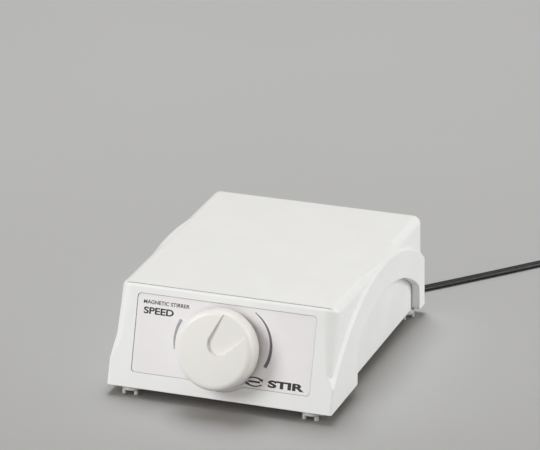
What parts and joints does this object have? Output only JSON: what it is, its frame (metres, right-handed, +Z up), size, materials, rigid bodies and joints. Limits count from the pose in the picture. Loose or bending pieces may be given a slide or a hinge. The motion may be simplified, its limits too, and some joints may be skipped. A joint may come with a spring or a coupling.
{
  "type": "magnetic stirrer",
  "caption": "Low white bench-top magnetic stirrer: flat vessel plate, sloping front panel with a rotary speed knob, arched side fenders, rubber feet and a low-voltage cord.",
  "frame": {"origin": "on the vessel plate's top face, where the stirring axis passes through it", "axes": "+Z up out of the vessel plate, +Y from the control panel to the rear, +X to the right when facing the control panel"},
  "size_m": [0.1817, 0.2745, 0.0549],
  "materials": {
    "black_plastic": "black moulded plastic",
    "bracket_steel": "zinc-plated sheet steel",
    "brass": "plain brass",
    "bronze": "sintered bronze",
    "cap_nylon": "natural nylon",
    "capacitor_sleeve": "dark blue shrink sleeve",
    "carbon": "carbon brush blocks",
    "case_enamel": "white moulded casing, smooth satin",
    "chip_epoxy": "black moulded epoxy",
    "copper_wire": "enamelled copper wire",
    "cord_sheath": "black PVC sheath",
    "ferrite": "dark grey sintered ferrite",
    "foot_rubber": "whitish grey soft rubber",
    "grommet_rubber": "black soft rubber",
    "hub_alloy": "turned aluminium",
    "knob_plastic": "slightly warm ivory moulded plastic, satin",
    "label_film": "printed polyester sheet, pale warm grey, satin",
    "laminate_board": "tan paper-phenolic circuit board",
    "magnet_plate": "nickel-plated neodymium magnet",
    "motor_steel": "plated drawn steel can",
    "nickel_brass": "nickel-plated brass",
    "pot_phenolic": "brown phenolic disc with a carbon track",
    "pot_steel": "plated steel cover",
    "resistor_body": "tan lacquered resistor body with colour bands",
    "shaft_steel": "ground steel",
    "tinned_copper": "tin-plated copper",
    "tub_plastic": "off-white moulded plastic, fine matt grain",
    "white_nylon": "natural white nylon",
    "wire_insulation": "PVC-insulated wire",
    "zinc_steel": "zinc-plated steel"
  },
  "bodies": {
    "base": {"base_screws": "zinc_steel", "board_resistors": "resistor_body", "board_screws": "zinc_steel", "bracket_grommets": "grommet_rubber", "bracket_screws": "zinc_steel", "circuit_board": "laminate_board", "control_chip": "chip_epoxy", "control_panel_label": "label_film", "dc_jack_contacts": "tinned_copper", "dc_jack_housing": "black_plastic", "drive_transistor": "chip_epoxy", "filter_capacitor": "capacitor_sleeve", "flyback_diode": "chip_epoxy", "foot_front_left": "foot_rubber", "foot_front_right": "foot_rubber", "foot_rear_left": "foot_rubber", "foot_rear_right": "foot_rubber", "lower_case": "tub_plastic", "motor_bracket": "bracket_steel", "motor_brushes": "carbon", "motor_can": "motor_steel", "motor_connector": "white_nylon", "motor_end_cap": "cap_nylon", "motor_face_screws": "zinc_steel", "motor_field_magnets": "ferrite", "motor_leads": "wire_insulation", "motor_lower_bush": "bronze", "motor_plug": "white_nylon", "motor_terminals": "brass", "motor_upper_bush": "bronze", "pot_bushing": "nickel_brass", "pot_connector": "white_nylon", "pot_cover": "pot_steel", "pot_leads": "wire_insulation", "pot_nut": "nickel_brass", "pot_plug": "white_nylon", "pot_terminals": "tinned_copper", "pot_track": "pot_phenolic", "pot_washer": "zinc_steel", "upper_case": "case_enamel"},
    "knob": {"speed_knob": "knob_plastic", "pot_shaft": "shaft_steel", "pot_wiper": "brass"},
    "rotor": {"motor_shaft": "shaft_steel", "motor_commutator": "copper_wire", "motor_armature_core": "motor_steel", "armature_windings": "copper_wire", "magnet_hub": "hub_alloy", "magnet_yoke": "bracket_steel", "hub_set_screw": "shaft_steel", "drive_magnet_north": "magnet_plate", "drive_magnet_south": "magnet_plate"},
    "plug": {"dc_plug_barrel": "nickel_brass", "dc_plug_boot": "cord_sheath", "power_cord": "cord_sheath", "cord_conductors": "copper_wire"}
  },
  "joints": [
    {"name": "knob_turn", "type": "hinge", "parent": "base", "child": "knob", "pos_m": [-0.0005, -0.08403, -0.0251], "axis": [0, -0.9578, 0.2873], "range_deg": [-98.5, 171.5]},
    {"name": "rotor_spin", "type": "hinge", "parent": "base", "child": "rotor", "pos_m": [0, 0, 0], "axis": [0, 0, 1], "continuous": true},
    {"name": "plug_pull", "type": "slide", "parent": "base", "child": "plug", "axis": [0, 1, 0], "range_m": [0, 0.012]}
  ]
}
